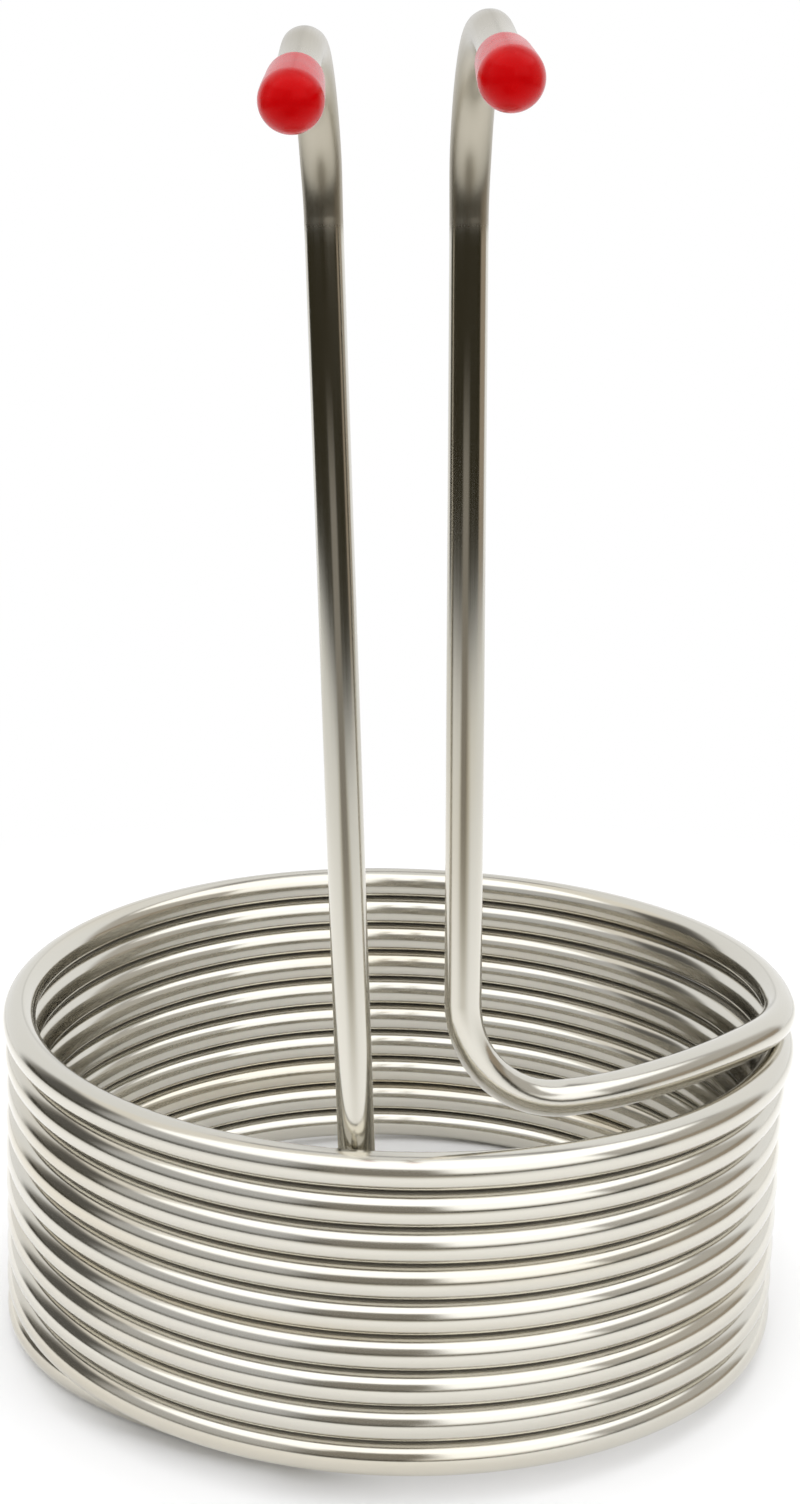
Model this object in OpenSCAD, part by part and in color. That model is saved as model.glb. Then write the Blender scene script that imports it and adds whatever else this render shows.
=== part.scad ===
// Immersion wort chiller: one stainless tube wound into a coil of touching turns, with both
// ends led inside the coil, turned up as risers and bent forward as goosenecks, each closed by
// a push-on cap. Millimetres, +Z up, the floor at z = 0, the viewer on the -Y side.

/* [Tube] */
// Outside diameter of the tube
tube_od = 9.5; // [8:0.1:12]
// Wall thickness of the tube
tube_wall = 0.8; // [0.5:0.1:1.2]

/* [Coil] */
// Radius of the coil, to the middle of the tube
coil_r = 110; // [105:1:130]
// Open space left between one turn and the next
turn_gap = 0.1; // [0.05:0.05:0.5]
// Number of turns, counted at the right side of the coil
turns = 10; // [6:1:10]
// Where the first turn starts, in degrees from the front towards the left
start_angle = 80; // [76:1:84]
// Where the last turn ends, in degrees short of the front
end_angle = 85.9; // [80:0.1:92]
// How far the coil leans to the right, because its helical foot rests on the floor
lean_right = 1.4; // [0:0.1:2]
// How far the coil leans back, for the same reason
lean_back = 0.4; // [0:0.1:2]

/* [Inlet end] */
// First bend of the lead, which takes the first turn inside the coil, in degrees
inlet_lead_in_turn = 38.4; // [36:0.1:40]
// Second bend of the lead, which turns it towards the elbow, in degrees
inlet_lead_turn = 25.2; // [22:0.1:28]
// How far the lead's bends are tipped up, so that the elbow clears the floor
inlet_lead_tip = 1; // [0.5:0.1:1.2]
// Bend of the elbow at the foot of the riser
inlet_elbow_turn = 92.8; // [90:0.1:95]
// How far the riser tips towards the middle of the coil, in degrees
inlet_riser_tip = 1.8; // [1:0.1:3]
// Straight length of the riser
inlet_riser_len = 289.2; // [200:0.1:400]
// Direction of the gooseneck round the riser
inlet_goose_roll = 104.2; // [75:0.1:135]
// Bend radius of the gooseneck
inlet_goose_r = 38; // [30:1:50]
// Bend of the gooseneck, from upright to past level
inlet_goose_turn = 110; // [90:1:130]
// Straight length of the spout past the gooseneck
inlet_spout_len = 32.2; // [20:0.1:60]

/* [Outlet end] */
// First bend of the lead, which takes the last turn inside the coil, in degrees
outlet_lead_in_turn = 30.9; // [28:0.1:34]
// Second bend of the lead, which follows the coil round, in degrees
outlet_lead_turn = 19.3; // [16:0.1:22]
// Third bend of the lead, which turns it towards the elbow, in degrees
outlet_lead_out_turn = 15.9; // [12:0.1:20]
// Bend of the elbow at the foot of the riser
outlet_elbow_turn = 88.4; // [86:0.1:92]
// How far the riser tips towards the middle of the coil, in degrees
outlet_riser_tip = -0.8; // [-3:0.1:3]
// Straight length of the riser
outlet_riser_len = 198.1; // [120:0.1:300]
// Direction of the gooseneck round the riser
outlet_goose_roll = -106.1; // [-135:0.1:-75]
// Bend radius of the gooseneck
outlet_goose_r = 42; // [30:1:50]
// Bend of the gooseneck, from upright to past level
outlet_goose_turn = 106; // [90:1:130]
// Straight length of the spout past the gooseneck
outlet_spout_len = 36.2; // [20:0.1:60]

/* [Caps] */
// Outside diameter of a cap at its domed end
cap_od = 14; // [13:0.1:15]
// Outside diameter of a cap at its open rim
cap_rim_od = 12.6; // [11.6:0.1:13]
// How much of the tube a cap covers
cap_grip = 13; // [8:0.5:16]
// Running clearance between cap and tube, on the radius
cap_fit = 0.05; // [0.02:0.01:0.1]
// Round on the open rim of a cap
cap_rim_r = 0.6; // [0.2:0.1:0.8]

/* [Hidden] */

$fn = 72;
steel = [0.80, 0.78, 0.72];
red = [0.80, 0.03, 0.05];

tube_r = tube_od / 2;
bore_r = tube_r - tube_wall;
pitch = tube_od + turn_gap;
inlet_lead_in_r = 76;
inlet_lead_r = 125;
outlet_lead_in_r = 50;
outlet_lead_r = 170;
outlet_lead_out_r = 70;
elbow_r = 30;
cap_r = cap_od / 2;
cap_rim_end_r = cap_rim_od / 2;
cap_bore_r = tube_r + cap_fit;
// The tube stops this far short of the place where the cap's dome starts.
cap_end_room = 0.5;
// How far a cutting solid runs past the face that it opens.
cut_past = 1;

// A turn is two plane half circles, each tipped about X by half_tip, so that they climb one
// pitch together and run on into each other without a kink.
half_tip = atan(pitch / (4 * coil_r));
half_r = coil_r / cos(half_tip);

// Each turn is kept as its left and its right half: coil_turn_01_left is the lowest.
function half_name(h) =
    let (n = floor(h / 2) + 1)
    str("coil_turn_", n < 10 ? "0" : "", n, h % 2 == 0 ? "_left" : "_right");

// 4 x 4 placements. A section of tube starts at its frame's origin and runs along the frame's
// Z, and a bend turns towards the frame's X.
function moved(v) = [[1, 0, 0, v[0]], [0, 1, 0, v[1]], [0, 0, 1, v[2]], [0, 0, 0, 1]];
function about_x(a) = [[1, 0, 0, 0], [0, cos(a), -sin(a), 0], [0, sin(a), cos(a), 0], [0, 0, 0, 1]];
function about_y(a) = [[cos(a), 0, sin(a), 0], [0, 1, 0, 0], [-sin(a), 0, cos(a), 0], [0, 0, 0, 1]];
function about_z(a) = [[cos(a), -sin(a), 0, 0], [sin(a), cos(a), 0, 0], [0, 0, 1, 0], [0, 0, 0, 1]];
function after_run(len) = moved([0, 0, len]);
function after_bend(r, a) = moved([r, 0, 0]) * about_y(a) * moved([-r, 0, 0]);

// Placement of half turn h, counted from 0: even ones go from the front round the left side to
// the back, and odd ones from the back round the right side to the front.
function half_frame(h) =
    moved([0, 0, h * pitch / 2]) * about_z(180 * h) * moved([0, -coil_r, 0])
    * about_x(half_tip) * about_z(90) * about_x(-90);

// Where the inlet's lead and elbow start, in the upright coil.
lead_in_frame = half_frame(0) * after_bend(half_r, start_angle) * about_x(180)
    * about_z(inlet_lead_tip);
lead_frame = lead_in_frame * after_bend(inlet_lead_in_r, inlet_lead_in_turn);
elbow_frame = lead_frame * after_bend(inlet_lead_r, inlet_lead_turn)
    * about_z(90 - inlet_riser_tip);

// The coil leans as it stands, and is lifted until its lowest tube touches the floor.
lean = about_x(-lean_back) * about_y(lean_right);
low_tube = [for (a = [start_angle : 1 : 180]) half_frame(0) * after_bend(half_r, a),
            for (a = [0 : 1 : 180]) half_frame(1) * after_bend(half_r, a),
            for (a = [0 : 1 : inlet_lead_in_turn]) lead_in_frame * after_bend(inlet_lead_in_r, a),
            for (a = [0 : 1 : inlet_lead_turn]) lead_frame * after_bend(inlet_lead_r, a),
            for (a = [0 : 1 : inlet_elbow_turn]) elbow_frame * after_bend(elbow_r, a)];
standing = moved([0, 0, tube_r - min([for (f = low_tube) (lean * f)[2][3]])]) * lean;

// Frames along the inlet end, from the start of the first turn outwards.
inlet_start = standing * lead_in_frame;
inlet_near = standing * lead_frame;
inlet_foot = standing * elbow_frame;
inlet_up = inlet_foot * after_bend(elbow_r, inlet_elbow_turn);
inlet_top = inlet_up * after_run(inlet_riser_len) * about_z(inlet_goose_roll);
inlet_out = inlet_top * after_bend(inlet_goose_r, inlet_goose_turn);
inlet_mouth = inlet_out * after_run(inlet_spout_len);

// Frames along the outlet end, from the end of the last turn outwards.
outlet_start = standing * half_frame(2 * turns - 1) * after_bend(half_r, 180 - end_angle);
outlet_along = outlet_start * after_bend(outlet_lead_in_r, outlet_lead_in_turn);
outlet_near = outlet_along * after_bend(outlet_lead_r, outlet_lead_turn);
outlet_foot = outlet_near * after_bend(outlet_lead_out_r, outlet_lead_out_turn)
    * about_z(outlet_riser_tip - 90);
outlet_up = outlet_foot * after_bend(elbow_r, outlet_elbow_turn);
outlet_top = outlet_up * after_run(outlet_riser_len) * about_z(outlet_goose_roll);
outlet_out = outlet_top * after_bend(outlet_goose_r, outlet_goose_turn);
outlet_mouth = outlet_out * after_run(outlet_spout_len);

module tube_ring() {
    difference() {
        circle(r = tube_r);
        circle(r = bore_r);
    }
}

module tube_bend(frame, r, a) {
    color(steel) multmatrix(frame) translate([r, 0, 0]) rotate([90, 0, 180])
        rotate_extrude(angle = a, $fn = 180) translate([r, 0]) tube_ring();
}

module tube_run(frame, len) {
    color(steel) multmatrix(frame) linear_extrude(height = len) tube_ring();
}

module half_turn(h) {
    first = h == 0 ? start_angle : 0;
    last = h == 2 * turns - 1 ? 180 - end_angle : 180;
    tube_bend(standing * half_frame(h) * after_bend(half_r, first), half_r, last - first);
}

module inlet_lead_in() tube_bend(inlet_start, inlet_lead_in_r, inlet_lead_in_turn);
module inlet_lead() tube_bend(inlet_near, inlet_lead_r, inlet_lead_turn);
module inlet_elbow() tube_bend(inlet_foot, elbow_r, inlet_elbow_turn);
module inlet_riser() tube_run(inlet_up, inlet_riser_len);
module inlet_gooseneck() tube_bend(inlet_top, inlet_goose_r, inlet_goose_turn);
module inlet_spout() tube_run(inlet_out, inlet_spout_len);
module inlet_cap() cap(inlet_mouth);

module outlet_lead_in() tube_bend(outlet_start, outlet_lead_in_r, outlet_lead_in_turn);
module outlet_lead() tube_bend(outlet_along, outlet_lead_r, outlet_lead_turn);
module outlet_lead_out() tube_bend(outlet_near, outlet_lead_out_r, outlet_lead_out_turn);
module outlet_elbow() tube_bend(outlet_foot, elbow_r, outlet_elbow_turn);
module outlet_riser() tube_run(outlet_up, outlet_riser_len);
module outlet_gooseneck() tube_bend(outlet_top, outlet_goose_r, outlet_goose_turn);
module outlet_spout() tube_run(outlet_out, outlet_spout_len);
module outlet_cap() cap(outlet_mouth);

// A cap that widens from its rounded rim to its domed end.
module cap_outline() {
    polygon([[0, cap_rim_r], [cap_rim_end_r, cap_rim_r], [cap_r, cap_grip + cap_end_room],
             [0, cap_grip + cap_end_room]]);
    square([cap_rim_end_r - cap_rim_r, cap_rim_r]);
    translate([cap_rim_end_r - cap_rim_r, cap_rim_r]) circle(r = cap_rim_r);
    translate([0, cap_grip + cap_end_room]) intersection() {
        circle(r = cap_r);
        square(cap_r);
    }
}

module cap(mouth) {
    color(red) multmatrix(mouth) translate([0, 0, -cap_grip]) difference() {
        rotate_extrude() cap_outline();
        translate([0, 0, -cut_past])
            cylinder(r = cap_bore_r, h = cap_grip + cap_end_room + cut_past);
        translate([0, 0, cap_grip + cap_end_room]) sphere(r = cap_bore_r);
    }
}

for (h = [0 : 2 * turns - 1])
    half_turn(h);
inlet_lead_in();
inlet_lead();
inlet_elbow();
inlet_riser();
inlet_gooseneck();
inlet_spout();
inlet_cap();
outlet_lead_in();
outlet_lead();
outlet_lead_out();
outlet_elbow();
outlet_riser();
outlet_gooseneck();
outlet_spout();
outlet_cap();
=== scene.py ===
"""Looks of the immersion wort chiller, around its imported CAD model. Metres, +Z up, -Y in front.

The tube is bent here from one straight length, as the real one is, and then cut where the CAD
nodes meet, so that wall, grain and reflections run on from piece to piece. Its dimensions are
those of the part's source, in metres."""

import math
from collections import namedtuple

import bpy
import numpy as np
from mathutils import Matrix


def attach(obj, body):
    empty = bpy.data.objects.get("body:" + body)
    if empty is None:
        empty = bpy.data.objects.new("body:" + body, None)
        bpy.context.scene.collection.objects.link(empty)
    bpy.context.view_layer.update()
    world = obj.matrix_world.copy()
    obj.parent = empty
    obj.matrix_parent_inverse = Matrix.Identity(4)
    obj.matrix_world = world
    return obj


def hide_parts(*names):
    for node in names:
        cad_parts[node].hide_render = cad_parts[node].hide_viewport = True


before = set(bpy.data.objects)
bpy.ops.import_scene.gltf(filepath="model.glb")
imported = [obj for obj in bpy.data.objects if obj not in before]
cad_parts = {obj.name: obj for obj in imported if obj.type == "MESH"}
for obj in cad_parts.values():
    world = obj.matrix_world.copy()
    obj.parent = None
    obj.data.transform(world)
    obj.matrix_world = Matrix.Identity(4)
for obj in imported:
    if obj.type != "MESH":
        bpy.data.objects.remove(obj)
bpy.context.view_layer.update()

# ---------------------------------------------------------------- dimensions of the part
TUBE_R = 0.00475
WALL = 0.0008
PITCH = 0.0096
COIL_R = 0.110
TURNS = 10
START_ANGLE, END_ANGLE = 80, 85.9
LEAN_RIGHT, LEAN_BACK = 1.4, 0.4
HALF_TIP = math.degrees(math.atan(PITCH / (4 * COIL_R)))
HALF_R = COIL_R / math.cos(math.radians(HALF_TIP))

# A step along an end of the tube: node, roll before it, bend radius (0 is straight), and its
# turn in degrees or its length.
INLET_STEPS = [
    ("inlet_lead_in", 1, 0.076, 38.4),
    ("inlet_lead", 0, 0.125, 25.2),
    ("inlet_elbow", 90 - 1.8, 0.030, 92.8),
    ("inlet_riser", 0, 0, 0.2892),
    ("inlet_gooseneck", 104.2, 0.038, 110),
    ("inlet_spout", 0, 0, 0.0322),
]
OUTLET_STEPS = [
    ("outlet_lead_in", 0, 0.050, 30.9),
    ("outlet_lead", 0, 0.170, 19.3),
    ("outlet_lead_out", 0, 0.070, 15.9),
    ("outlet_elbow", -0.8 - 90, 0.030, 88.4),
    ("outlet_riser", 0, 0, 0.1981),
    ("outlet_gooseneck", -106.1, 0.042, 106),
    ("outlet_spout", 0, 0, 0.0362),
]
# The steps of the inlet that may hang as low as the coil's foot.
LOW_STEPS = INLET_STEPS[:3]

CAP_R = 0.007
CAP_RIM_END_R = 0.0063
CAP_BORE_R = 0.0048
CAP_GRIP = 0.013
CAP_END_ROOM = 0.0005
CAP_RIM_R = 0.0006

# ---------------------------------------------------------------- how finely it is meshed
AROUND = 48
RING_STEP = 0.0035
FINE_STEP = 0.0004
BORE_RING_EVERY = 2
CAP_AROUND = 72
CAP_RINGS = {"crown": 14, "bore": 9, "mouth": 6, "rim": 8, "skirt": 12, "dome": 26}

# ---------------------------------------------------------------- signs of how it was made
# The bender's clamp leaves a shallow ring where each riser goes over into its gooseneck.
CLAMP_MARK = 0.00002
CLAMP_WIDTH = 0.0010
CLAMP_REACH = 0.004
# A thin wall flattens a little round a tight bend: the share of the radius, how much of it an
# elbow has, and the share of a bend's length over which it fades out at each end.
OVAL = 0.055
ELBOW_OVAL = 0.6
OVAL_FADE = 0.22
# The free ends are cut square and deburred.
DEBURR = 0.00018
# The bender dulls the goosenecks, this much of the riser before them, and the spout, which
# eases off by a share over its first stretch.
WORKED_RISER = 0.006
SPOUT_EASE = 0.4
SPOUT_EASE_REACH = 0.02

# How far the hand-wound coil strays outwards from its true circle, in millimetres: rows are
# turns from the start of the coil, columns are azimuths from the front towards the right.
STRAY_TURNS = (0.0, 0.5, 5.0, 7.5, 8.5, 9.3, 9.8, 10.5)
STRAY_AZIMUTHS = (-180, -90, -45, 0, 30, 60, 80, 100, 140, 180)
STRAY = (
    (0.0, -0.3, 0.2, 1.4, 1.4, 0.4, -2.8, -2.8, -1.5, 0.0),
    (0.0, -0.3, 0.2, 1.4, 1.4, 0.4, -2.8, -2.8, -1.5, 0.0),
    (0.0, 0.0, 0.2, 1.0, 1.2, 0.2, -1.9, -1.9, -1.0, 0.0),
    (0.0, 0.0, 0.3, 0.5, 0.9, 0.2, -1.4, -1.4, -0.6, 0.0),
    (0.0, 0.6, 0.2, 0.2, 0.6, 0.6, 0.6, 0.8, 0.4, 0.0),
    (0.0, 1.2, 0.4, 0.0, 0.2, 1.2, 2.6, 2.6, 1.2, 0.0),
    (0.0, 1.4, 0.4, 0.0, 0.0, 0.6, 1.6, 1.6, 0.8, 0.0),
    (0.0, 1.4, 0.4, 0.0, 0.0, 0.6, 1.6, 1.6, 0.8, 0.0),
)
MM_PER_M = 1000
# The rows are rounded over this many degrees, with a bell curve of this width.
STRAY_REACH = 30
STRAY_BELL = 12
# The stray fades out over this length of lead past either end of the coil.
STRAY_FADE = 0.06
# Slow errors of winding on top of that: wavelength along the tube, phase and size, and the
# length over which they fade out at both ends of the coil.
WANDER = ((0.31, 0.9, 0.00010), (0.173, 2.1, 0.00006), (0.071, 0.4, 0.00002))
WANDER_FADE = 0.12
# The painted shade line between turns fades out over this length where a turn has no neighbour.
NEST_FADE = 0.02


# ---------------------------------------------------------------- placements, 4 x 4
def moved(x, y, z):
    m = np.eye(4)
    m[:3, 3] = x, y, z
    return m


def about(axis, degrees):
    c, s = math.cos(math.radians(degrees)), math.sin(math.radians(degrees))
    i, j = {"X": (1, 2), "Y": (2, 0), "Z": (0, 1)}[axis]
    m = np.eye(4)
    m[i, i] = m[j, j] = c
    m[i, j], m[j, i] = -s, s
    return m


def after(radius, amount):
    """The frame at the end of a step: a bend turns towards the frame's X, a run follows Z."""
    if not radius:
        return moved(0, 0, amount)
    return moved(radius, 0, 0) @ about("Y", amount) @ moved(-radius, 0, 0)


def half_frame(h):
    """Half turn h starts at the front, or at the back where h is odd, and climbs half a pitch."""
    start = moved(0, 0, h * PITCH / 2) @ about("Z", 180 * h) @ moved(0, -COIL_R, 0)
    return start @ about("X", HALF_TIP) @ about("Z", 90) @ about("X", -90)


def standing_frame():
    """The coil leans as it stands on its helical foot, and its lowest tube touches the floor."""
    lean = about("X", -LEAN_BACK) @ about("Y", LEAN_RIGHT)
    low_tube = [half_frame(0) @ after(HALF_R, a) for a in range(START_ANGLE, 181)]
    low_tube += [half_frame(1) @ after(HALF_R, a) for a in range(0, 181)]
    here = half_frame(0) @ after(HALF_R, START_ANGLE) @ about("X", 180)
    for _, roll, radius, turn in LOW_STEPS:
        here = here @ about("Z", roll)
        low_tube += [here @ after(radius, a) for a in range(0, math.floor(turn) + 1)]
        here = here @ after(radius, turn)
    lowest = min((lean @ place)[2, 3] for place in low_tube)
    return moved(0, 0, TUBE_R - lowest) @ lean


STANDING = standing_frame()


# ---------------------------------------------------------------- the sections of the tube
Section = namedtuple("Section", "name at radius amount")


def length_of(section):
    return section.radius * math.radians(section.amount) if section.radius else section.amount


def end_of(section):
    return section.at @ after(section.radius, section.amount)


def half_name(h):
    return f"coil_turn_{h // 2 + 1:02d}_{'right' if h % 2 else 'left'}"


def coil_sections():
    last_half = 2 * TURNS - 1
    sections = []
    for h in range(2 * TURNS):
        first = START_ANGLE if h == 0 else 0
        last = 180 - END_ANGLE if h == last_half else 180
        at = STANDING @ half_frame(h) @ after(HALF_R, first)
        sections.append(Section(half_name(h), at, HALF_R, last - first))
    return sections


def walk(start, steps):
    """The sections of one end, from the coil outwards, and the frame of its mouth."""
    sections, here = [], start
    for name, roll, radius, amount in steps:
        sections.append(Section(name, here @ about("Z", roll), radius, amount))
        here = end_of(sections[-1])
    return sections, here


COIL = coil_sections()
COIL_LENGTH = sum(length_of(section) for section in COIL)
INLET, INLET_MOUTH = walk(COIL[0].at @ about("X", 180), INLET_STEPS)
OUTLET, OUTLET_MOUTH = walk(end_of(COIL[-1]), OUTLET_STEPS)


# ---------------------------------------------------------------- how the tube is out of true
def smooth(x, low, high):
    t = np.clip((x - low) / (high - low), 0, 1)
    return t * t * (3 - 2 * t)


def oval_share(name, along, length):
    """How much of OVAL a bend has at a distance along it, fading out at both its ends."""
    if "gooseneck" not in name and "elbow" not in name:
        return np.zeros_like(along)
    share = 1.0 if "gooseneck" in name else ELBOW_OVAL
    fade = OVAL_FADE * length
    return share * smooth(along, 0, fade) * (1 - smooth(along, length - fade, length))


def worked_share(name, along, length):
    """How far the bender has dulled the wall: the goosenecks, and a little way either side."""
    if "gooseneck" in name:
        return np.ones_like(along)
    if "riser" in name:
        return smooth(along, length - WORKED_RISER, length)
    if "spout" in name:
        return 1 - SPOUT_EASE * smooth(along, 0, SPOUT_EASE_REACH)
    return np.zeros_like(along)


def smooth_lookup(azimuth, row):
    """Values between the entries of a row of STRAY, run into each other without corners."""
    grid = np.arange(-180, 180)
    values = np.interp(grid, STRAY_AZIMUTHS, row)
    bell = np.exp(-((np.arange(-STRAY_REACH, STRAY_REACH + 1) / STRAY_BELL) ** 2))
    padded = np.concatenate([values[-STRAY_REACH:], values, values[:STRAY_REACH]])
    smoothed = np.convolve(padded, bell / bell.sum(), "valid")
    return np.interp(azimuth, grid, smoothed, period=360)


def stray(s):
    """The coil's distance outwards from its true circle, in metres, at distances s along it."""
    turned = START_ANGLE + np.degrees(s / HALF_R)
    azimuth = (180 - turned) % 360 - 180
    rows = np.array([smooth_lookup(azimuth, row) for row in STRAY])
    place = np.interp(turned / 360, STRAY_TURNS, np.arange(len(STRAY_TURNS)))
    low = np.clip(np.floor(place).astype(int), 0, len(STRAY_TURNS) - 2)
    share = place - low
    ring = np.arange(len(s))
    value = rows[low, ring] * (1 - share) + rows[low + 1, ring] * share
    fade = smooth(s, -STRAY_FADE, 0.0) * (1 - smooth(s, COIL_LENGTH, COIL_LENGTH + STRAY_FADE))
    return value * fade / MM_PER_M


def wander(s):
    """Small slow errors of hand winding, in metres outwards from the coil's axis."""
    total = sum(size * np.sin(2 * math.pi * s / wave + phase) for wave, phase, size in WANDER)
    rise = smooth(s, 0.0, WANDER_FADE)
    return total * (rise * (1 - smooth(s, COIL_LENGTH - WANDER_FADE, COIL_LENGTH)))


# ---------------------------------------------------------------- rings along the tube
# Of each ring: its distance along the straight stock, its point, its three axes, the angle
# between the stock's own mark line and the bend's plane, its bend's curvature, how oval it is,
# how deep a mark it has and how far it is worked.
RING_KEYS = ("s", "point", "x", "y", "z", "off", "bend", "oval", "dent", "worked")


def ring_places(length, clamps):
    """Distances along a section at which the tube has a ring, closer together at its clamps."""
    count = max(2, math.ceil(length / RING_STEP))
    places = set(np.round(np.linspace(0, length, count + 1), 7))
    for at in clamps:
        near = np.arange(at - CLAMP_REACH, at + CLAMP_REACH, FINE_STEP)
        places |= set(np.round(near[(near > 0) & (near < length)], 7))
    return np.array(sorted(places))


def section_rings(section, sign, s0, rolled):
    """A section's rings from distance s0 on; sign is -1 where it runs against the stock."""
    name, at, radius, _ = section
    length = length_of(section)
    spout = name.endswith("_spout")
    clamps = [length] if name.endswith("_riser") else [0] if name.endswith("_gooseneck") else []
    along = ring_places(length, clamps)
    if spout:
        along = np.append(along[:-1], [length - DEBURR, length])
    count = len(along)
    angle = along / radius if radius else np.zeros(count)
    none, cos, sin = np.zeros(count), np.cos(angle), np.sin(angle)
    ahead = radius * sin if radius else along
    here = np.stack([radius - radius * cos, none, ahead], axis=1)
    turn = at[:3, :3]
    dent = np.zeros(count)
    for place in clamps:
        dent += CLAMP_MARK * np.exp(-(((along - place) / CLAMP_WIDTH) ** 2))
    if spout:
        dent[-1] = DEBURR
    return dict(
        name=name,
        s=s0 + sign * along,
        point=here @ turn.T + at[:3, 3],
        x=np.stack([cos, none, -sin], axis=1) @ turn.T,
        y=np.tile(turn[:, 1] * sign, (count, 1)),
        z=np.stack([sin, none, cos], axis=1) @ turn.T * sign,
        off=np.full(count, sign * rolled),
        bend=np.full(count, 1 / radius if radius else 0.0),
        oval=OVAL * oval_share(name, along, length),
        dent=dent,
        worked=worked_share(name, along, length),
    )


def roll_between(end, start):
    """The angle about Z by which one section's frame is rolled against the one before it."""
    return math.atan2(start[:3, 0] @ end[:3, 1], start[:3, 0] @ end[:3, 0])


def lay_rings(sections, sign, s0=0.0, rolled=0.0, end=None):
    """The rings of sections that follow each other, and the roll that has added up by then."""
    runs = []
    for section in sections:
        if end is not None:
            rolled += roll_between(end, section.at)
        runs.append(section_rings(section, sign, s0, rolled))
        s0 += sign * length_of(section)
        end = end_of(section)
    return runs, rolled


def whole_tube():
    """The rings of every section, from the inlet mouth to the outlet mouth."""
    inlet, _ = lay_rings(INLET, -1)
    coil, rolled = lay_rings(COIL, 1)
    outlet, _ = lay_rings(OUTLET, 1, COIL_LENGTH, rolled, end_of(COIL[-1]))
    for run in inlet:
        run.update({key: run[key][::-1] for key in RING_KEYS})
    return inlet[::-1] + coil + outlet


def neighbours(s):
    """How far the coil has a turn lying on it, and one lying under it, at distances s."""
    one_turn = 2 * math.pi * COIL_R
    top_turn = COIL_LENGTH - one_turn
    above = smooth(s, -NEST_FADE, 0.0) * (1 - smooth(s, top_turn, top_turn + NEST_FADE))
    past_end = smooth(s, COIL_LENGTH, COIL_LENGTH + NEST_FADE)
    below = smooth(s, one_turn - NEST_FADE, one_turn) * (1 - past_end)
    return above, below


def tube_walls():
    """Each node's first and last ring, and the points and normals of all rings of both walls."""
    runs = whole_tube()
    ring = {key: np.concatenate([runs[0][key]] + [run[key][1:] for run in runs[1:]])
            for key in RING_KEYS}
    cuts, at = [], 0
    for run in runs:
        cuts.append((run["name"], at, at + len(run["s"]) - 1))
        at += len(run["s"]) - 1

    s, z_axis = ring["s"], ring["z"]
    outward = ring["point"] * (1, 1, 0)
    outward /= np.linalg.norm(outward, axis=1)[:, None]
    shift = outward * (stray(s) + wander(s))[:, None]
    point = ring["point"] + shift
    lean = np.gradient(shift, s, axis=0)

    psi = np.arange(AROUND) * 2 * math.pi / AROUND
    theta = psi[None, :] - ring["off"][:, None]
    cos, sin = np.cos(theta)[..., None], np.sin(theta)[..., None]
    x_axis, y_axis = ring["x"][:, None], ring["y"][:, None]
    radial = cos * x_axis + sin * y_axis
    across = -sin * x_axis + cos * y_axis
    oval, bend = ring["oval"][:, None], ring["bend"][:, None]

    def wall(radius, dent):
        rho = radius * (1 - oval * np.cos(2 * theta)) - dent[:, None]
        rho_s = np.gradient(rho, s, axis=0)
        rho_t = 2 * radius * oval * np.sin(2 * theta)
        stretch = 1 - bend * rho * np.cos(theta)
        tilt = rho_s / stretch + np.einsum("ikc,ic->ik", radial, lean)
        normal = radial - tilt[..., None] * z_axis[:, None] - (rho_t / rho)[..., None] * across
        normal /= np.linalg.norm(normal, axis=2)[..., None]
        return point[:, None] + rho[..., None] * radial, normal

    def round_each(values):
        return np.broadcast_to(values, theta.shape)

    outside, outside_normal = wall(TUBE_R, ring["dent"])
    bore, bore_normal = wall(TUBE_R - WALL, np.zeros_like(s))
    above, below = neighbours(s)
    mark_line = [round_each(TUBE_R * np.cos(psi)), round_each(TUBE_R * np.sin(psi))]
    nest = [radial @ STANDING[:3, 2], round_each(above[:, None]), round_each(below[:, None])]
    walls = dict(
        outside=outside,
        outside_normal=outside_normal,
        bore=bore,
        bore_normal=bore_normal,
        stock=np.stack([round_each(s[:, None])] + mark_line, axis=2),
        nest=np.stack(nest, axis=2),
        worked=round_each(ring["worked"][:, None]),
        z=z_axis,
    )
    return cuts, walls


# ---------------------------------------------------------------- meshes
def round_a_ring(count):
    """The numbers of a ring's points, and of the point after each."""
    k = np.arange(count)
    return k, (k + 1) % count


def sheet_faces(rows, columns, start, flip=False):
    """Quads of a sheet of rows x columns points that closes on itself around its columns."""
    row = start + np.arange(rows - 1)[:, None] * columns
    k, after_k = round_a_ring(columns)
    corners = [row + k, row + after_k, row + columns + after_k, row + columns + k]
    quads = np.stack(corners, axis=2).reshape(-1, 4)
    return quads[:, ::-1] if flip else quads


def new_piece(name, points, faces, normals, uv, material, attributes=()):
    """A mesh object. normals and uv have one row for each corner of each face."""
    mesh = bpy.data.meshes.new(name)
    mesh.from_pydata(points.tolist(), [], [list(face) for face in faces])
    mesh.polygons.foreach_set("use_smooth", np.ones(len(faces), bool))
    layer = mesh.uv_layers.new(name="UVMap")
    layer.uv.foreach_set("vector", np.asarray(uv, np.float32).ravel())
    for label, values in attributes:
        kind, field = ("FLOAT_VECTOR", "vector") if values.ndim == 2 else ("FLOAT", "value")
        attribute = mesh.attributes.new(label, kind, "POINT")
        attribute.data.foreach_set(field, values.astype(np.float32).ravel())
    mesh.update()
    mesh.normals_split_custom_set(np.asarray(normals, float).tolist())
    mesh.materials.append(material)
    return shown(name, mesh)


def shown(name, mesh):
    """An object of the mesh, in the scene."""
    thing = bpy.data.objects.new(name, mesh)
    bpy.context.scene.collection.objects.link(thing)
    return thing


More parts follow.
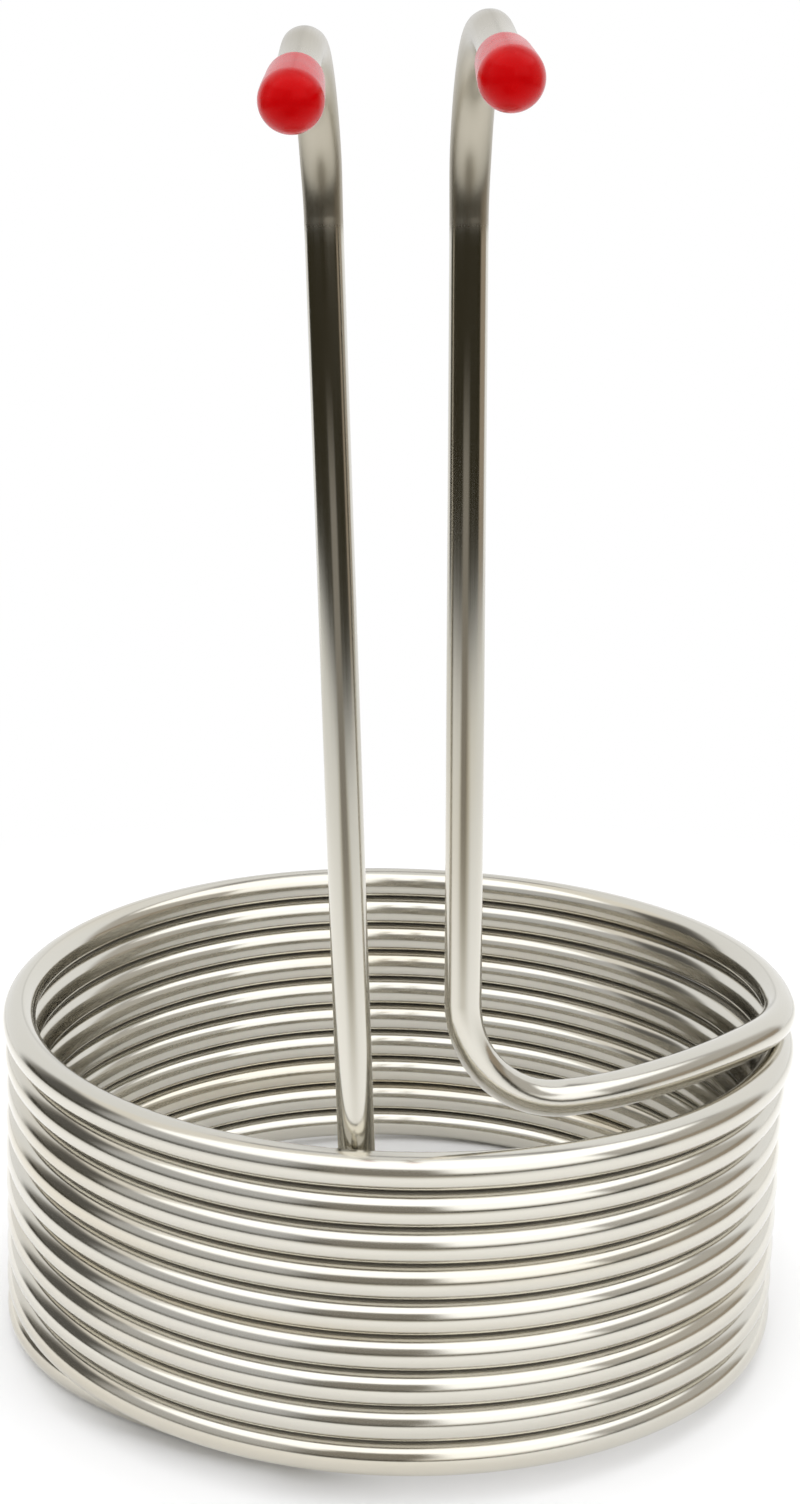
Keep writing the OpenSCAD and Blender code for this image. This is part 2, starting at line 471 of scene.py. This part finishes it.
def tube_piece(name, first, last, walls, material):
    """One node's stretch of the tube: outside wall, bore wall and the two cut faces."""
    outer = np.arange(first, last + 1)
    inner = np.unique(np.r_[np.arange(first, last, BORE_RING_EVERY), last])

    def both_walls(outside, bore):
        parts = (outside[outer], bore[inner])
        return np.concatenate([part.reshape(-1, *part.shape[2:]) for part in parts])

    points = both_walls(walls["outside"], walls["bore"])
    normals = both_walls(walls["outside_normal"], -walls["bore_normal"])
    labels = ("stock", "nest", "worked")
    painted = {label: both_walls(walls[label], walls[label]) for label in labels}

    bore_start = len(outer) * AROUND
    outer_far = bore_start - AROUND
    bore_far = bore_start + (len(inner) - 1) * AROUND
    wall_faces = np.concatenate([
        sheet_faces(len(outer), AROUND, 0),
        sheet_faces(len(inner), AROUND, bore_start, flip=True),
    ])
    k, after_k = round_a_ring(AROUND)
    start_cut = np.stack([k, bore_start + k, bore_start + after_k, after_k], axis=1)
    end_cut = [outer_far + after_k, bore_far + after_k, bore_far + k, outer_far + k]
    end_cut = np.stack(end_cut, axis=1)
    faces = np.concatenate([wall_faces, start_cut, end_cut])
    corner_normals = np.concatenate([
        normals[wall_faces.ravel()],
        np.tile(-walls["z"][first], (start_cut.size, 1)),
        np.tile(walls["z"][last], (end_cut.size, 1)),
    ])
    uv = corner_uv(painted["stock"][faces])
    return new_piece(name, points, faces, corner_normals, uv, material, painted.items())


def corner_uv(stock):
    """u follows the tube's length and v goes once round it; both in metres of wall."""
    angle = np.arctan2(stock[..., 2], stock[..., 1])
    angle = np.where(angle - angle[:, :1] > math.pi, angle - 2 * math.pi, angle)
    angle = np.where(angle - angle[:, :1] < -math.pi, angle + 2 * math.pi, angle)
    return np.stack([stock[..., 0], angle * TUBE_R], axis=2).reshape(-1, 2)


# ---------------------------------------------------------------- material helpers
SMOOTH = "SMOOTHSTEP"
# The noise values between which an effect runs from none to all of it.
MIDDLE_NOISE = (0.3, 0.7)
UPPER_NOISE = (0.35, 0.7)


class Nodes:
    """A short way to add and link shader nodes."""

    def __init__(self, tree):
        self.tree = tree
        tree.nodes.clear()

    def add(self, kind, **settings):
        node = self.tree.nodes.new("ShaderNode" + kind)
        for key, value in settings.items():
            setattr(node, key, value)
        return node

    def link(self, source, target):
        self.tree.links.new(source, target)

    def feed(self, socket, value):
        """Links a socket to an output, or sets it to a constant, such as a colour's r, g, b."""
        if isinstance(value, bpy.types.NodeSocket):
            self.link(value, socket)
        elif socket.type == "RGBA":
            socket.default_value = (*value, 1)
        else:
            socket.default_value = value

    def fill(self, node, **values):
        """Feeds sockets by name, with _ for each space."""
        for name, value in values.items():
            self.feed(node.inputs[name.replace("_", " ")], value)

    def attribute(self, name, output):
        return self.add("Attribute", attribute_name=name).outputs[output]

    def split(self, vector):
        node = self.add("SeparateXYZ")
        self.link(vector, node.inputs[0])
        return node.outputs

    def maths(self, operation, a, b=0.0):
        node = self.add("Math", operation=operation)
        self.feed(node.inputs[0], a)
        self.feed(node.inputs[1], b)
        return node.outputs[0]

    def times(self, a, b):
        return self.maths("MULTIPLY", a, b)

    def measure(self, operation, vector, other=(0, 0, 0)):
        """A vector's LENGTH, or its DISTANCE from another."""
        node = self.add("VectorMath", operation=operation)
        self.link(vector, node.inputs[0])
        node.inputs[1].default_value = other
        return node.outputs["Value"]

    def noise(self, vector, scale, detail=2.0, roughness=0.5):
        """Noise with a scale of its own for each axis, or one for all three."""
        if isinstance(scale, tuple):
            node = self.add("VectorMath", operation="MULTIPLY")
            self.link(vector, node.inputs[0])
            node.inputs[1].default_value = scale
            vector, scale = node.outputs[0], 1.0
        node = self.add("TexNoise")
        self.fill(node, Vector=vector, Scale=scale, Detail=detail, Roughness=roughness)
        return node.outputs["Fac"]

    def remap(self, value, low, high, to_low, to_high, curve="LINEAR"):
        node = self.add("MapRange", interpolation_type=curve)
        self.fill(node, Value=value, From_Min=low, From_Max=high, To_Min=to_low, To_Max=to_high)
        return node.outputs["Result"]

    def rise(self, value, low, high):
        return self.remap(value, low, high, 0, 1, SMOOTH)

    def fall(self, value, low, high):
        return self.remap(value, low, high, 1, 0, SMOOTH)

    def blend(self, share, a, b):
        node = self.add("Mix", data_type="RGBA")
        for number, value in ((0, share), (6, a), (7, b)):
            self.feed(node.inputs[number], value)
        return node.outputs[2]

    def bump(self, height, strength, distance, normal=None):
        node = self.add("Bump")
        self.fill(node, Height=height, Strength=strength, Distance=distance)
        if normal is not None:
            self.link(normal, node.inputs["Normal"])
        return node.outputs["Normal"]

    def mixed(self, share, a, b):
        """The output of one shader node fading over into another's."""
        node = self.add("MixShader")
        for socket, value in zip(node.inputs, (share, a, b)):
            self.link(value, socket)
        return node.outputs[0]

    def shader(self, kind, **values):
        node = self.add(kind)
        self.fill(node, **values)
        return node.outputs[0]

    def finish(self, surface, kind="Material"):
        self.link(surface, self.add("Output" + kind).inputs["Surface"])


def new_material(name):
    material = bpy.data.materials.new(name)
    material.use_nodes = True
    return material, Nodes(material.node_tree)


# ---------------------------------------------------------------- the steel
# Noise scales along the stock and across it, per metre.
DRAWN_LINES = (14, 2600, 2600)
SCRATCHES = (45, 900, 900)
HANDLING = (9, 120, 120)
TINTS = (5.5, 60, 60)

STRAW_NOISE = (0.52, 0.72)
HANDLED_NOISE = (0.45, 0.75)

CLEAN_STEEL = (0.635, 0.61, 0.54)
STRAW_STEEL, MOST_STRAW = (0.60, 0.54, 0.42), 0.55
HANDLED_STEEL, MOST_HANDLED = (0.54, 0.52, 0.48), 0.18
WORKED_STEEL, MOST_WORKED = (0.40, 0.365, 0.29), 0.85
# Painted shade in the nips between turns: its colour and its largest share.
PAINTED_NIP_SHADE, MOST_PAINTED_NIP_SHADE = (0.16, 0.14, 0.10), 0.72
# The steel loses this share of its metallic look for a full measure of painted shade.
PAINTED_NIP_SHADE_MATT = 0.75
# The painted shade comes in where the wall faces its neighbour this squarely, as a cosine.
NIP = (0.885, 0.985)
DRAWN_ROUGHNESS = (0.115, 0.150)
HANDLED_ROUGHER = 0.03
WORKED_ROUGHER = 0.17
# Strength and depth in metres.
DRAWN_BUMP = (0.10, 0.00003)
SCRATCH_BUMP = (0.06, 0.00004)
# The drawn grain stretches highlights this much, across the tube: a quarter turn from u.
GRAIN_STRETCH = 0.6
GRAIN_TURN = 0.25


def drawn_stainless():
    """Bright drawn stainless tube: grain along its length, faint straw tints, handling and
    painted shade in the nips between turns.
    """
    material, n = new_material("drawn_stainless")
    stock = n.attribute("stock", "Vector")
    drawn = n.noise(stock, DRAWN_LINES, detail=3)
    scratches = n.noise(stock, SCRATCHES, detail=4, roughness=0.6)
    handled = n.noise(stock, HANDLING, detail=3)
    tint = n.noise(stock, TINTS, detail=2)
    worked = n.attribute("worked", "Fac")

    straw = n.remap(tint, *STRAW_NOISE, 0.0, MOST_STRAW, SMOOTH)
    colour = n.blend(straw, CLEAN_STEEL, STRAW_STEEL)
    dull = n.remap(handled, *HANDLED_NOISE, 0.0, MOST_HANDLED)
    colour = n.blend(dull, colour, HANDLED_STEEL)
    colour = n.blend(n.times(worked, MOST_WORKED), colour, WORKED_STEEL)

    # Painted shade in the nips between turns: the steel is darker and less metallic where it
    # faces its neighbour.
    upward, above, below = n.split(n.attribute("nest", "Vector"))
    top_line = n.times(n.rise(upward, *NIP), above)
    foot_line = n.times(n.rise(n.times(upward, -1.0), *NIP), below)
    painted_nip_shade = n.times(n.maths("ADD", top_line, foot_line), MOST_PAINTED_NIP_SHADE)
    colour = n.blend(painted_nip_shade, colour, PAINTED_NIP_SHADE)
    metal = n.maths("SUBTRACT", 1.0, n.times(painted_nip_shade, PAINTED_NIP_SHADE_MATT))

    lines = n.remap(drawn, *MIDDLE_NOISE, *DRAWN_ROUGHNESS)
    roughness = n.maths("ADD", lines, n.remap(handled, *UPPER_NOISE, 0.0, HANDLED_ROUGHER))
    roughness = n.maths("ADD", roughness, n.times(worked, WORKED_ROUGHER))
    normal = n.bump(drawn, *DRAWN_BUMP)
    normal = n.bump(scratches, *SCRATCH_BUMP, normal)

    tangent = n.add("Tangent", direction_type="UV_MAP", uv_map="UVMap").outputs[0]
    n.finish(n.shader("BsdfPrincipled", Base_Color=colour, Roughness=roughness, Normal=normal,
                      Metallic=metal, Anisotropic=GRAIN_STRETCH, Anisotropic_Rotation=GRAIN_TURN,
                      Tangent=tangent))
    return material


# ---------------------------------------------------------------- the vinyl
# Noise scales per metre.
SKIN, WAVES, RUBS = 900, 160, 320
RUBBED_NOISE = (0.35, 0.75)
DEEP_RED, LIGHT_RED = (0.40, 0.0004, 0.0012), (0.46, 0.0006, 0.0016)
RED_ROUGHNESS = (0.20, 0.30)
SKIN_BUMP = (0.08, 0.00003)
WAVE_BUMP = (0.15, 0.00012)
RED_SHEEN, SHEEN = (1.0, 0.10, 0.10), 0.40
# A trace of a softer second gloss: its weight and roughness.
COAT = (0.02, 0.10)


def red_vinyl():
    """Dipped soft vinyl: glossy, a little uneven, with faint rubbed patches."""
    material, n = new_material("red_vinyl")
    place = n.add("TexCoord").outputs["Object"]
    skin = n.noise(place, SKIN)
    waves = n.noise(place, WAVES)
    rubbed = n.noise(place, RUBS, detail=4, roughness=0.6)
    colour = n.blend(n.remap(waves, *MIDDLE_NOISE, 0.0, 1.0), DEEP_RED, LIGHT_RED)
    roughness = n.remap(rubbed, *RUBBED_NOISE, *RED_ROUGHNESS)
    normal = n.bump(waves, *WAVE_BUMP, n.bump(skin, *SKIN_BUMP))
    coat, coat_roughness = COAT
    n.finish(n.shader("BsdfPrincipled", Base_Color=colour, Roughness=roughness, Normal=normal,
                      Specular_IOR_Level=SHEEN, Specular_Tint=RED_SHEEN,
                      Coat_Weight=coat, Coat_Roughness=coat_roughness))
    return material


# ---------------------------------------------------------------- the caps
# The rounding of the mouth's inner edge.
CAP_BEAD_R = 0.00035
# The bore's first and last ring stand this far from the cap's mouth and from the dome.
CAP_BORE_ENDS = (0.0016, 0.0015)
# The stretch of the skirt that has rings, and the stretch of a smooth step that widens it.
SKIRT_SPAN = (0.08, 0.94)
SKIRT_STEP = (-0.25, 1.1)


def arc(centre_x, centre_z, radius, start, end, count):
    angles = np.radians(np.linspace(start, end, count))
    return [(centre_x + radius * math.cos(a), centre_z + radius * math.sin(a)) for a in angles]


def cap_profile():
    """(radius, height) from the bore's crown, down the bore, round the rim and up to the tip."""
    dome_at = CAP_GRIP + CAP_END_ROOM
    lip, bead = CAP_RIM_R, CAP_BEAD_R
    from_mouth, from_dome = CAP_BORE_ENDS
    count = CAP_RINGS
    crown = arc(0, dome_at, CAP_BORE_R, 90, 0, count["crown"])
    heights = np.linspace(dome_at - from_dome, from_mouth, count["bore"])
    bore = [(CAP_BORE_R, z) for z in heights]
    mouth = arc(CAP_BORE_R + bead, bead, bead, 180, 270, count["mouth"])
    rim = arc(CAP_RIM_END_R - lip, lip, lip, -90, 0, count["rim"])
    # The skirt widens from its rim to the dome, and bellies a hair on the way.
    skirt = [(CAP_RIM_END_R + (CAP_R - CAP_RIM_END_R) * smooth(t, *SKIRT_STEP),
              lip + (dome_at - lip) * t) for t in np.linspace(*SKIRT_SPAN, count["skirt"])]
    dome = arc(0, dome_at, CAP_R, 0, 90, count["dome"])
    return np.array(crown + bore + mouth + rim + skirt + dome)


def cap_piece(name, mouth, material):
    """A cap turned from its profile, closed at its crown and its tip by fans."""
    profile = cap_profile()
    rings = len(profile) - 2
    angles = np.arange(CAP_AROUND) * 2 * math.pi / CAP_AROUND
    circle = np.stack([np.cos(angles), np.sin(angles)], axis=1)

    def turned(pairs):
        return np.concatenate([np.c_[circle * r, np.full(CAP_AROUND, z)] for r, z in pairs])

    steps = np.gradient(profile, axis=0)
    out = np.stack([steps[:, 1], -steps[:, 0]], axis=1)
    out /= np.linalg.norm(out, axis=1)[:, None]
    poles = [(0, 0, profile[0][1]), (0, 0, profile[-1][1])]
    points = np.concatenate([turned(profile[1:-1]), poles])
    normals = np.concatenate([turned(out[1:-1]), [(0, 0, -1), (0, 0, 1)]])
    at = mouth @ moved(0, 0, -CAP_GRIP)
    points = points @ at[:3, :3].T + at[:3, 3]
    normals = normals @ at[:3, :3].T

    crown, tip = rings * CAP_AROUND, rings * CAP_AROUND + 1
    last = crown - CAP_AROUND
    k, after_k = round_a_ring(CAP_AROUND)
    faces = [tuple(quad) for quad in sheet_faces(rings, CAP_AROUND, 0)]
    faces += [(crown, b, a) for a, b in zip(k, after_k)]
    faces += [(tip, last + a, last + b) for a, b in zip(k, after_k)]

    corners = np.concatenate([np.array(face) for face in faces])
    distance = np.r_[0, np.cumsum(np.linalg.norm(np.diff(profile, axis=0), axis=1))]
    ring_of = np.r_[np.repeat(np.arange(1, rings + 1), CAP_AROUND), 0, rings + 1]
    around = np.r_[np.tile(angles, rings), 0, 0] * CAP_R
    uv = np.stack([around[corners], distance[ring_of[corners]]], axis=1)
    return new_piece(name, points, faces, normals[corners], uv, material)


# ---------------------------------------------------------------- building it
STEEL = drawn_stainless()
VINYL = red_vinyl()

CUTS, WALLS = tube_walls()
for node, first, last in CUTS:
    piece = tube_piece(node + "_drawn", first, last, WALLS, STEEL)
    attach(piece, "tube")
    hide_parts(node)

for node, mouth in (("inlet_cap", INLET_MOUTH), ("outlet_cap", OUTLET_MOUTH)):
    piece = cap_piece(node + "_vinyl", mouth, VINYL)
    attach(piece, node)
    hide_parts(node)


# ---------------------------------------------------------------- the floor
# Distances from the coil's middle: where the table ends, and how far before and after that it
# fades out.
FLOOR_REACH = 1.15
FLOOR_FADE = 0.35
PALE, PALE_FAR = (0.90, 0.90, 0.905), (0.66, 0.66, 0.65)
# Where one goes over into the other, for light that falls on the object.
FAR_TABLE = (0.25, 0.80)
# A shadow painted on the floor in front of the tube, where whoever stands there shades it: the
# dim patch that the tube mirrors.
PAINTED_FLOOR_SHADOW = (0.36, 0.335, 0.27)
PAINTED_FLOOR_SHADOW_AT = (0.0, -0.78, 0.0)
PAINTED_FLOOR_SHADOW_EDGE = (0.15, 0.50)
# Past the object's shadow the camera sees the table as white as the backdrop, with no grain.
BARE_TABLE = (0.24, 0.50)


def staged(name, corners, surface):
    """A single quad of the set."""
    mesh = bpy.data.meshes.new(name)
    mesh.from_pydata(corners, [], [(0, 1, 2, 3)])
    mesh.materials.append(surface)
    thing = shown(name, mesh)
    return thing


def pale_table():
    """Pale, with a shadow painted in front, and at its edge it fades out into the dim room that
    the tube mirrors.
    """
    material, n = new_material("pale_table")
    place = n.add("TexCoord").outputs["Object"]
    out = n.measure("LENGTH", place)
    seen = n.add("LightPath").outputs["Is Camera Ray"]
    gone = n.rise(out, FLOOR_REACH - FLOOR_FADE, FLOOR_REACH + FLOOR_FADE)
    # A shadow painted on the floor in front, where whoever stands there shades it.
    dim = n.fall(n.measure("DISTANCE", place, PAINTED_FLOOR_SHADOW_AT), *PAINTED_FLOOR_SHADOW_EDGE)
    far = n.times(n.rise(out, *FAR_TABLE), n.maths("SUBTRACT", 1.0, seen))
    colour = n.blend(dim, n.blend(far, PALE, PALE_FAR), PAINTED_FLOOR_SHADOW)
    bare = n.times(n.rise(out, *BARE_TABLE), seen)
    top = n.mixed(bare, n.shader("BsdfDiffuse", Color=colour), n.shader("Emission"))
    n.finish(n.mixed(gone, top, n.shader("BsdfTransparent")))
    return material


def floor():
    size = FLOOR_REACH + FLOOR_FADE
    corners = [(-size, -size, 0), (size, -size, 0), (size, size, 0), (-size, size, 0)]
    staged("floor", corners, pale_table())


# ---------------------------------------------------------------- the observer
# A card in front of the object: its place, its edges, and how far they fade inwards. Its foot
# fades in between two heights.
OBSERVER_Y = -0.36
OBSERVER_X = (-0.13, 0.10)
OBSERVER_Z = (0.0, 0.28)
OBSERVER_SOFT = 0.06
OBSERVER_FOOT = (0.03, 0.11)
OBSERVER_COLOUR, OBSERVER_GLOW = (1.0, 0.93, 0.82), 0.30


def dim_cloth():
    material, n = new_material("dim_cloth")
    x, _, z = n.split(n.add("TexCoord").outputs["Object"])
    (left, right), high = OBSERVER_X, OBSERVER_Z[1]
    share = n.rise(x, left, left + OBSERVER_SOFT)
    share = n.times(share, n.fall(x, right - OBSERVER_SOFT, right))
    share = n.times(share, n.fall(z, high - OBSERVER_SOFT, high))
    share = n.times(share, n.rise(z, *OBSERVER_FOOT))
    glow = n.shader("Emission", Color=OBSERVER_COLOUR, Strength=OBSERVER_GLOW)
    n.finish(n.mixed(share, n.shader("BsdfTransparent"), glow))
    return material


def observer():
    """The dim, soft-edged shape of whoever stands in front, seen only in the steel."""
    (left, right), (low, high) = OBSERVER_X, OBSERVER_Z
    edges = [(left, low), (right, low), (right, high), (left, high)]
    card = staged("observer", [(x, OBSERVER_Y, z) for x, z in edges], dim_cloth())
    card.visible_camera = card.visible_diffuse = card.visible_shadow = False


# ---------------------------------------------------------------- light
# Light panels round the object: azimuth from the front towards the right and elevation, both
# in degrees, how soft the edge is, the radiance, and the colour.
WARM, COOL, TAN = (1.0, 0.97, 0.92), (0.97, 0.98, 1.0), (1.0, 0.84, 0.66)
PANELS = [
    (-180, 180, 8, 62, 4, 0.32, WARM),      # walls all round
    (-180, 180, 66, 91, 5, 1.00, COOL),     # ceiling
    (-150, -84, 38, 88, 4, 1.05, WARM),     # high, left
    (-84, 112, 34, 84, 5, 1.9, COOL),       # high, front and right: the main light
    (-116, -89, 4, 33, 5, 0.13, WARM),      # a dark gap, left
    (-86, -26, 5, 37, 6, 0.64, COOL),       # front left
    (6, 62, 5, 12, 3, 1.0, WARM),           # foot of the next one
    (8, 60, 11, 38, 4, 1.7, COOL),          # front right
    (62, 120, 8, 33, 4, 0.60, WARM),        # right
    (76, 118, -12, 9, 4, 0.40, TAN),        # low, right
    (119, 181, -20, 60, 5, 1.10, COOL),     # behind, right
    (-181, -124, -20, 60, 5, 1.05, COOL),   # behind, left
]
# What the steel mirrors between the panels.
ROOM = (0.036, 0.031, 0.018)
# The radiance of the dome that lights matt surfaces, and its shares at its foot and crown.
DOME = 1.45
DOME_FOOT, DOME_CROWN = 0.75, 1.15
# The foot is at this height on a unit dome.
DOME_FROM = -0.2
WHITE = (1.0, 1.0, 1.0)


def studio():
    """White to the camera, an even soft dome on matt surfaces, and light panels in the steel."""
    world = bpy.data.worlds.new("studio")
    bpy.context.scene.world = world
    world.use_nodes = True
    n = Nodes(world.node_tree)
    x, y, z = n.split(n.add("TexCoord").outputs["Generated"])
    azimuth = n.maths("ARCTAN2", x, n.times(y, -1.0))
    elevation = n.maths("ARCSINE", z)

    def between(value, low, high, soft):
        rise = n.rise(value, math.radians(low - soft), math.radians(low + soft))
        return n.times(rise, n.fall(value, math.radians(high - soft), math.radians(high + soft)))

    colour = ROOM
    for left, right, low, high, soft, radiance, tint in PANELS:
        share = between(elevation, low, high, soft)
        if right - left < 360:
            share = n.times(share, between(azimuth, left, right, soft))
        colour = n.blend(share, colour, tuple(radiance * c for c in tint))

    paths = n.add("LightPath")
    dome = n.remap(z, DOME_FROM, 1.0, DOME_FOOT * DOME, DOME_CROWN * DOME)
    dome_colour = n.add("CombineColor")
    n.fill(dome_colour, Red=dome, Green=dome, Blue=dome)
    colour = n.blend(paths.outputs["Is Diffuse Ray"], colour, dome_colour.outputs[0])
    colour = n.blend(paths.outputs["Is Camera Ray"], colour, WHITE)
    n.finish(n.shader("Background", Color=colour), "World")


# ---------------------------------------------------------------- camera
# A short way in front of the goosenecks and just under their height, looking a little down.
CAMERA_AT = (0.00255, -0.6596, 0.3445)
CAMERA_DOWN = 10.11
SENSOR = 36.0
LENS = 56.06
LENS_SHIFT_Y = -0.133


def camera():
    data = bpy.data.cameras.new("camera")
    data.sensor_width = SENSOR
    data.lens = LENS
    data.shift_y = LENS_SHIFT_Y
    view = shown("camera", data)
    view.location = CAMERA_AT
    view.rotation_euler = (math.radians(90 - CAMERA_DOWN), 0, 0)
    bpy.context.scene.camera = view


floor()
observer()
studio()
camera()
bpy.context.scene.view_settings.view_transform = "Standard"
